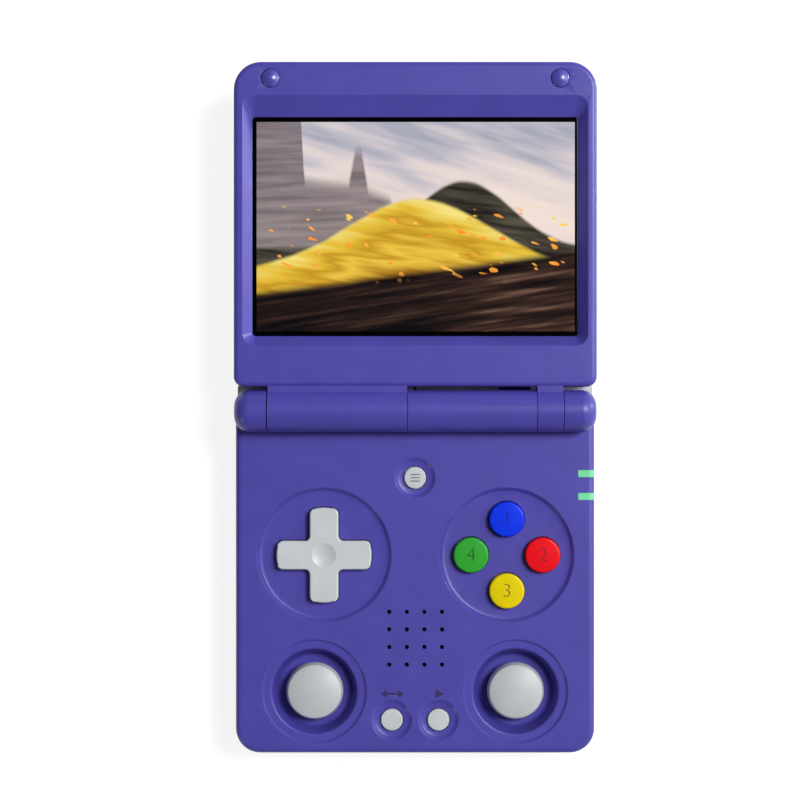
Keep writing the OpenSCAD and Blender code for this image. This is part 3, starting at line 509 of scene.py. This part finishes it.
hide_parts("dpad")


# ---- Face buttons: four round keys in blue, red, yellow and green ABS ----
# Each is moulded in its own colour, with a rounded rim and a plain numeral that is sunk in its
# face and coloured a darker shade of the key as painted shade.
FACE_R = 4
FACE_TOP = 16.5
FACE_RIM = 0.5
FACE_CROWN = 0.06       # the face rises this much towards its middle
FACE_FLANGE, FACE_FLANGE_Z = 0.7, (11.4, 12.7)
NUMERAL_SIZE = 4.4
NUMERAL_HALF, NUMERAL_LIFT = 0.16, 0.05     # half the cutter's thickness, and its middle's height
NUMERAL_THIN = 0.07
for side, numeral, colour, face_code, mark_code in (
    ("top", "1", "blue", "#0a31da", "#0a1c8a"), ("right", "2", "red", "#dc0e1a", "#8f0a12"),
    ("bottom", "3", "yellow", "#d8c303", "#8f7a04"), ("left", "4", "green", "#309a30", "#14551a"),
):
    node = side + "_face_button"
    centre = mid(node)
    flange_r = FACE_R + FACE_FLANGE
    shape = spun([(0, FACE_FLANGE_Z[0]), (flange_r, FACE_FLANGE_Z[0]),
                  (flange_r, FACE_FLANGE_Z[1]), (FACE_R, FACE_FLANGE_Z[1])]
                 + fillet(FACE_R - FACE_RIM, FACE_TOP - FACE_RIM, FACE_RIM, 0, 90, 8)
                 + [(0, FACE_TOP + FACE_CROWN)], (centre.x, centre.y, 0))
    # ABS in a strong colour from a polished mould: smoother than the shells, with little glare.
    dyed = moulded(colour + "_moulded_abs", face_code, 0.28, grit=0.3, gloss=0.15)
    # Painted shade in the numeral: a darker, dull shade of the key, so it reads without a
    # highlight.
    mark = moulded(colour + "_paint_in_the_numeral", mark_code, 0.5)
    key = solid(node.replace("button", "key"), shape, dyed)
    letter = bpy.data.curves.new("numeral", "FONT")
    letter.body = numeral
    letter.size = NUMERAL_SIZE
    letter.align_x, letter.align_y = "CENTER", "CENTER"
    letter.extrude = NUMERAL_HALF
    letter.offset = -NUMERAL_THIN
    drawn = bpy.data.objects.new("numeral", letter)
    scene.collection.objects.link(drawn)
    ready = drawn.evaluated_get(bpy.context.evaluated_depsgraph_get())
    flat = bpy.data.meshes.new_from_object(ready)
    engraving = bmesh.new()
    engraving.from_mesh(flat)
    bmesh.ops.remove_doubles(engraving, verts=engraving.verts, dist=WELD)
    bmesh.ops.translate(engraving, vec=(centre.x, centre.y, FACE_TOP + NUMERAL_LIFT),
                        verts=engraving.verts)
    # the sunk numeral takes the painted shade of its groove
    cut(key, engraving, finish=mark)
    bpy.data.objects.remove(drawn)
    bpy.data.meshes.remove(flat)
    soften(key)
    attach(key, node)
    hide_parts(node)


# ---- Menu, select and start buttons: small round keys in light grey ABS ----
# Moulded with flat tops and rounded rims, and held in by flanges under the shell. The menu key
# carries three pad-printed bars.
def block(centre, size, edge=0, steps=3):
    """A box by its middle and size, with its edges rounded."""
    shape = bmesh.new()
    bmesh.ops.create_cube(shape, size=1)
    bmesh.ops.scale(shape, vec=size, verts=shape.verts)
    if edge:
        rounded(shape, shape.edges[:], edge, steps)
    bmesh.ops.translate(shape, vec=centre, verts=shape.verts)
    return shape


SMALL_R = 2.5
SMALL_TOP = 15.3
SMALL_RIM = 0.32
SMALL_FLANGE, SMALL_FLANGE_Z = 0.6, (12, 13.1)
BAR_SIZE, BAR_PITCH = (2.1, 0.3, 0.03), 0.75
for node in ("menu_button", "select_button", "start_button"):
    centre = mid(node)
    flange_r = SMALL_R + SMALL_FLANGE
    shape = spun([(0, SMALL_FLANGE_Z[0]), (flange_r, SMALL_FLANGE_Z[0]),
                  (flange_r, SMALL_FLANGE_Z[1]), (SMALL_R, SMALL_FLANGE_Z[1])]
                 + fillet(SMALL_R - SMALL_RIM, SMALL_TOP - SMALL_RIM, SMALL_RIM, 0, 90, 6)
                 + [(0, SMALL_TOP)], (centre.x, centre.y, 0), 64)
    key = solid(node.replace("button", "key"), shape, grey)
    soften(key)
    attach(key, node)
    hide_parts(node)
centre = mid("menu_button")
# Pad-printed ink: a flat grey film without gloss, a hair proud of the key.
print_grey = moulded("grey_pad_printed_ink", "#73797d", 0.5)
bars = solid("menu_bars", together(*[
    block((centre.x, centre.y + lift, SMALL_TOP), BAR_SIZE) for lift in (-BAR_PITCH, 0, BAR_PITCH)
]), print_grey)
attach(bars, "menu_button")


# ---- Thumbsticks: domed caps on stems, moulded in light grey polycarbonate ----
# A satin dome on a straight skirt that clears its bowl at every tilt. The pin at the foot of the
# stem is pushed into the stick module.
CAP_R, CAP_FACE_R = 6.5, 5.95
CAP_FOOT, CAP_TOP, CAP_DOME = 13, 16.5, 1
SKIRT_ROUND, SKIRT_TALL, SKIRT_DRAFT = 0.4, 0.9, 0.02
RIM_ROUND, RIM_IN, RIM_DOWN = 0.16, 0.06, 0.17
STICK_AXIS_Z = 8.25
STEM_R, PIN_R = 1.6, 0.95
PIN_LOW, PIN_TOP = STICK_AXIS_Z - 0.85, STICK_AXIS_Z + 1.3
# Light grey polycarbonate: a little darker than the keys, with a wider and duller sheen.
cap_grey = moulded("light_grey_moulded_polycarbonate", "#b2b6b9", 0.42, grit=0.3)
for side in ("left", "right"):
    node = side + "_thumbstick"
    centre = mid(node)
    rim = CAP_TOP - CAP_DOME
    dome_r = (CAP_FACE_R ** 2 + CAP_DOME ** 2) / (2 * CAP_DOME)
    tilt = math.degrees(math.asin((CAP_FACE_R - RIM_IN) / dome_r))
    shape = spun([(0, PIN_LOW), (PIN_R, PIN_LOW), (PIN_R, PIN_TOP), (STEM_R, PIN_TOP),
                  (STEM_R, CAP_FOOT)]
                 + fillet(CAP_R - SKIRT_ROUND, CAP_FOOT + SKIRT_ROUND, SKIRT_ROUND, -90, 0, 5)
                 + [(CAP_R - SKIRT_DRAFT, CAP_FOOT + SKIRT_TALL)]
                 + fillet(CAP_FACE_R - RIM_IN, rim - RIM_DOWN, RIM_ROUND, 4, 66, 4)
                 + fillet(0, CAP_TOP - dome_r, dome_r, 90 - tilt, 90, 14),
                 (centre.x, centre.y, 0))
    cap = solid(side + "_stick_cap", shape, cap_grey, 50)
    soften(cap)
    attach(cap, node)
    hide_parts(node)


# ---- Light pipes: two green stripes that wrap over the right edge ----
# Moulded in tinted polycarbonate and pushed into slots in the shells. Small lamps on the board
# light them from below.
GLOW_COLOUR, GLOW = "#7fd8a1", 0.12
# Tinted polycarbonate: pale milky green, with a faint glow of its own.
green_glow = moulded("light_green_polycarbonate", "#68c48f", 0.3, grit=0.5, gloss=0.2)
glowing = green_glow.node_tree.nodes["Principled BSDF"]
glowing.inputs["Emission Color"].default_value = linear(GLOW_COLOUR)
glowing.inputs["Emission Strength"].default_value = GLOW
for node in ("power_light_pipe", "charge_light_pipe"):
    stripe = solid(node.replace("pipe", "window"), merged(node), green_glow)
    soften(stripe, 0.05)
    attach(stripe, "base")
    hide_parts(node)


# ---- Shoulder, volume and power buttons: light grey ABS keys in the back and sides ----
# The shoulder keys wrap the back edge and swing on steel pins. The volume rocker and the power key
# stand out of the side walls, held by flanges inside; plus and minus are sunk in the rocker.
for node in ("left_inner_shoulder_button", "right_inner_shoulder_button",
             "left_outer_shoulder_button", "right_outer_shoulder_button"):
    key = solid(node.replace("button", "key"), merged(node), grey)
    soften(key, 0.25)
    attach(key, node)
    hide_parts(node)

WALL_KEY_TALL, WALL_KEY_EDGE = 2.2, 0.45
WALL_FLANGE, WALL_FLANGE_EDGE = 0.9, 0.1
WALL_KEY_START = 0.6    # the key starts this far inside its flange
SIGN_ARM, SIGN_HALF_LINE, SIGN_Y, SIGN_DEPTH = 0.7, 0.16, 3.6, 0.15
for node, half_length, out in (("volume_rocker", 5.5, -1), ("power_button", 3, 1)):
    low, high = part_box(node)
    low, high = low / MM, high / MM
    face, back = (low.x, high.x) if out < 0 else (high.x, low.x)
    middle_y, middle_z = (low.y + high.y) / 2, (low.z + high.z) / 2
    shape = block(((face + back) / 2 + out * WALL_KEY_START / 2, middle_y, middle_z),
                  (abs(face - back) - WALL_KEY_START, 2 * half_length, WALL_KEY_TALL),
                  WALL_KEY_EDGE, 4)
    key = solid(node.replace("rocker", "key").replace("button", "key"), shape, grey)
    flange = block((back + out * WALL_FLANGE / 2, middle_y, middle_z),
                   (WALL_FLANGE, high.y - low.y, high.z - low.z), WALL_FLANGE_EDGE)
    cut(key, flange, union=True)
    if node == "volume_rocker":
        arm, thin = SIGN_ARM, SIGN_HALF_LINE
        plus = [(arm, thin), (thin, thin), (thin, arm), (-thin, arm), (-thin, thin), (-arm, thin)]
        plus += [(-x, -y) for x, y in plus]
        minus = [(arm, thin), (-arm, thin), (-arm, -thin), (arm, -thin)]
        marks = together(*[
            plate([(x, y + end * SIGN_Y) for x, y in mark], -SIGN_DEPTH, SIGN_DEPTH)
            for mark, end in ((plus, 1), (minus, -1))
        ])
        bmesh.ops.rotate(marks, matrix=Matrix.Rotation(math.radians(-90), 3, "Y"),
                         verts=marks.verts)
        bmesh.ops.translate(marks, vec=(face, middle_y, middle_z), verts=marks.verts)
        cut(key, marks)
    soften(key)
    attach(key, node)
    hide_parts(node)


# ---- Lid: back moulding, front moulding with its sunk screen frame, and two bumpers ----
# Two shells of the same violet ABS, screwed together through two holes near the far edge. A domed
# rubber bumper is glued over each screw and keeps the shut lid off the control face.
LID_FACE = 21.5
BUMPER_R, BUMPER_H = 2.05, 0.75
BUMPER_GAP = 0.12
BUMPER_SINK, BUMPER_SHOULDER = 1.85, 0.08
bumper_low, bumper_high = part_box("lid_bumpers")
bumper_x = bumper_high.x / MM - BUMPER_R
bumper_y = (bumper_low.y + bumper_high.y) / 2 / MM
for node in ("lid_back_shell", "lid_front_shell"):
    shell = solid(node.replace("shell", "moulding"), merged(node), violet)
    if node == "lid_front_shell":
        seat_r = BUMPER_R + BUMPER_GAP
        seat = [(0, LID_FACE - 1), (seat_r, LID_FACE - 1), (seat_r, LID_FACE + 1),
                (0, LID_FACE + 1)]
        cut(shell, together(*[spun(seat, (end * bumper_x, bumper_y, 0), 64) for end in (-1, 1)]))
    soften(shell, SHELL_EDGE)
    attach(shell, "lid")
    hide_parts(node)

dome_r = (BUMPER_R ** 2 + BUMPER_H ** 2) / (2 * BUMPER_H)
dome_edge = math.degrees(math.asin(BUMPER_R / dome_r))
dome = [(0, LID_FACE - BUMPER_SINK), (BUMPER_R, LID_FACE - BUMPER_SINK),
        (BUMPER_R, LID_FACE - BUMPER_SHOULDER)]
dome += fillet(0, LID_FACE + BUMPER_H - dome_r, dome_r, 90 - dome_edge, 90, 12)
# Elastomer from a polished mould: smooth, with one small clear highlight on each dome.
rubber = moulded("violet_moulded_elastomer", "#48429c", 0.28, gloss=0.6)
bumpers = solid("lid_bumper_domes", together(*[
    spun(dome, (end * bumper_x, bumper_y, 0), 64) for end in (-1, 1)
]), rubber, 60)
soften(bumpers)
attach(bumpers, "lid")
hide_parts("lid_bumpers")


# ---- Screen: cover glass with a black printed border, and the lit panel behind it ----
# Coated float glass with ground edges, glued over the display panel. The lit picture is a plain
# landscape: streaked sky, dark ridge, golden dunes, fast dark ground and sparks.
LIT_W, LIT_L = 71.86, 47.3
LIT_X = 0.1
GLASS_CORNER, GLASS_EDGE = 0.7, 0.12
low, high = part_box("display_glass")
low, high = low / MM, high / MM
glass_mid = (low + high) / 2
shape = block(glass_mid, high - low)
upright = [e for e in shape.edges if abs(e.verts[0].co.z - e.verts[1].co.z) > WELD]
rounded(shape, upright, GLASS_CORNER, 6)
rim = [e for e in shape.edges if all(v.co.z > high.z - WELD for v in e.verts)]
rounded(shape, rim, GLASS_EDGE, 2)

# Coated glass over a lit panel: a deep black border with a faint clear gloss, and a picture that
# shines by itself, so it keeps its colours in any light.
screen, tree = blank("lit_display_under_coated_glass")
place = add(tree, "TexCoord").outputs["Object"]
# u and v run from -1 to 1 over the lit area
across_up = add(tree, "Mapping", {"Scale": (2 / (LIT_W * MM), 2 / (LIT_L * MM), 1), "Location":
                                  (-2 * LIT_X / LIT_W, -2 * glass_mid.y / LIT_L, 0)}, Vector=place)
split = add(tree, "SeparateXYZ", Vector=across_up)
u, v = split.outputs[0], split.outputs[1]


def streaks(turn, stretch, scale, detail=3.0):
    """Noise drawn out along a line at turn degrees."""
    laid = add(tree, "Mapping", {"Rotation": (0, 0, math.radians(turn))}, Vector=across_up)
    drawn = add(tree, "Mapping", {"Scale": (1, stretch, 1)}, Vector=laid)
    return add(tree, "TexNoise", {"Scale": scale, "Detail": detail, "noise_dimensions": "2D"},
               Vector=drawn)


def laid_over(below, stops, tone, inside, start, end, limit=1):
    """A layer of the picture in colours along a tone. It shows over what is below it where inside
    has passed end, not before start, and never more than limit."""
    colours = add(tree, "ValToRGB", {"stops": stops}, Fac=tone)
    shown = add(tree, "MapRange", {"interpolation_type": "SMOOTHSTEP", "From Min": start,
                                   "From Max": end}, Value=inside)
    mask = add(tree, "Math", {"operation": "MULTIPLY"}, _0=shown, _1=limit)
    return add(tree, "Mix", {"data_type": "RGBA"}, _0=mask, _6=below, _7=colours)


def under_hill(middle, width, height, foot):
    """How far a point lies under the crest of a soft hill, which waves a little."""
    away = add(tree, "Math", {"operation": "MULTIPLY_ADD", 1: 1 / width, 2: -middle / width}, _0=u)
    squared = add(tree, "Math", {"operation": "MULTIPLY"}, _0=away, _1=away)
    bell = add(tree, "Math", {"operation": "POWER", 0: 1 / math.e}, _1=squared)
    crest = add(tree, "Math", {"operation": "MULTIPLY_ADD", 1: height, 2: foot}, _0=bell)
    waved = add(tree, "Math", {"operation": "MULTIPLY_ADD", 1: 0.1}, _0=streaks(0, 0.05, 1.6),
                _2=crest)
    return add(tree, "Math", {"operation": "SUBTRACT"}, _0=waved, _1=v)


# sky, paler towards the ground
drift = add(tree, "Math", {"operation": "MULTIPLY_ADD", 1: 1.1, 2: -0.55}, _0=streaks(24, 5, 1.3))
sky_height = add(tree, "Math", {"operation": "MULTIPLY_ADD", 1: 0.6}, _0=v, _2=drift)
picture = add(tree, "ValToRGB", {"stops": [
    (0.0, "#f1e0d6"), (0.3, "#e0d2d2"), (0.52, "#c3bec8"), (0.75, "#a5a8b8"), (0.95, "#bcb5bf"),
]}, Fac=sky_height)

# towers in the haze on the left; the greys of this ramp are the height of the skyline
from_left = add(tree, "Math", {"operation": "MULTIPLY_ADD", 1: 0.5, 2: 0.5}, _0=u)
skyline = add(tree, "ValToRGB", {"stops": [
    (0.13, "#ffffff"), (0.15, "#9a9a9a"), (0.29, "#969696"), (0.31, "#bcbcbc"),
    (0.33, "#bcbcbc"), (0.35, "#8e8e8e"), (0.42, "#808080"), (0.46, "#000000"),
]}, Fac=from_left)
raised = add(tree, "Math", {"operation": "MULTIPLY", 1: 1.6}, _0=skyline)
under_skyline = add(tree, "Math", {"operation": "SUBTRACT"}, _0=raised, _1=v)
leftwards = add(tree, "Math", {"operation": "MULTIPLY", 1: -1}, _0=u)
hazy = add(tree, "MapRange", {"interpolation_type": "SMOOTHSTEP", "From Min": 0.02,
                              "From Max": 0.2, "To Max": 0.9}, Value=leftwards)
picture = laid_over(picture, [(0.3, "#5e5359"), (0.7, "#8d8083")], streaks(-3, 10, 1.4),
                    under_skyline, 0, 0.16, hazy)

# dark ridge, then the dunes in front of it
picture = laid_over(picture, [(0.3, "#23201c"), (0.7, "#5d574a")], streaks(10, 6, 2),
                    under_hill(0.3, 0.42, 0.66, -0.26), -0.02, 0.03)
under_dunes = under_hill(0.02, 0.66, 0.72, -0.5)
sand = add(tree, "Math", {"operation": "MULTIPLY", 1: 0.6}, _0=streaks(12, 5, 1.5, 2.0))
sand_tone = add(tree, "Math", {"operation": "MULTIPLY_ADD", 1: 0.7}, _0=under_dunes, _2=sand)
picture = laid_over(picture, [(0.22, "#f6e27e"), (0.4, "#e6c03c"), (0.52, "#c79624"),
                              (0.64, "#eec746"), (0.82, "#b07c1c"), (1.0, "#6b4410")],
                    sand_tone, under_dunes, -0.02, 0.03)

# ground that rushes past, and orange sparks over the middle
ground_tone = add(tree, "Math", {"operation": "MULTIPLY_ADD", 1: 0.07}, _0=u,
                  _2=streaks(-13, 11, 1.2, 4.0))
ground_line = add(tree, "Math", {"operation": "MULTIPLY_ADD", 1: 0.2, 2: -0.42}, _0=u)
under_line = add(tree, "Math", {"operation": "SUBTRACT"}, _0=ground_line, _1=v)
picture = laid_over(picture, [(0.34, "#0f0c0f"), (0.5, "#261a18"), (0.64, "#3f2c25"),
                              (0.78, "#6e5244")], ground_tone, under_line, -0.03, 0.06)
from_band = add(tree, "Math", {"operation": "ABSOLUTE"}, _0=add(
    tree, "Math", {"operation": "ADD", 1: 0.15}, _0=v))
inside_band = add(tree, "Math", {"operation": "SUBTRACT", 0: 0.42}, _1=from_band)
banded = add(tree, "MapRange", {"interpolation_type": "SMOOTHSTEP", "From Min": 0,
                                "From Max": 0.2}, Value=inside_band)
picture = laid_over(picture, [(0.3, "#ff7a18"), (0.7, "#ffd35c")], streaks(30, 1, 3),
                    streaks(30, 1.5, 9, 1.0), 0.69, 0.74, banded)

# the black border round the lit area
beside = add(tree, "Math", {"operation": "ABSOLUTE"}, _0=u)
beyond = add(tree, "Math", {"operation": "ABSOLUTE"}, _0=v)
farthest = add(tree, "Math", {"operation": "MAXIMUM"}, _0=beside, _1=beyond)
lit = add(tree, "Math", {"operation": "LESS_THAN", 1: 1}, _0=farthest)
picture = add(tree, "Mix", {"data_type": "RGBA", 6: "#000000"}, _0=lit, _7=picture)
skin = add(tree, "BsdfPrincipled", {"Base Color": "#020203", "Roughness": 0.1,
                                    "Specular IOR Level": 0.25, "Emission Strength": 1},
           Emission_Color=picture)
add(tree, "OutputMaterial", Surface=skin)
glass = solid("cover_glass", shape, screen)
soften(glass)
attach(glass, "lid")
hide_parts("display_glass")
coat(black_abs, "display_panel")
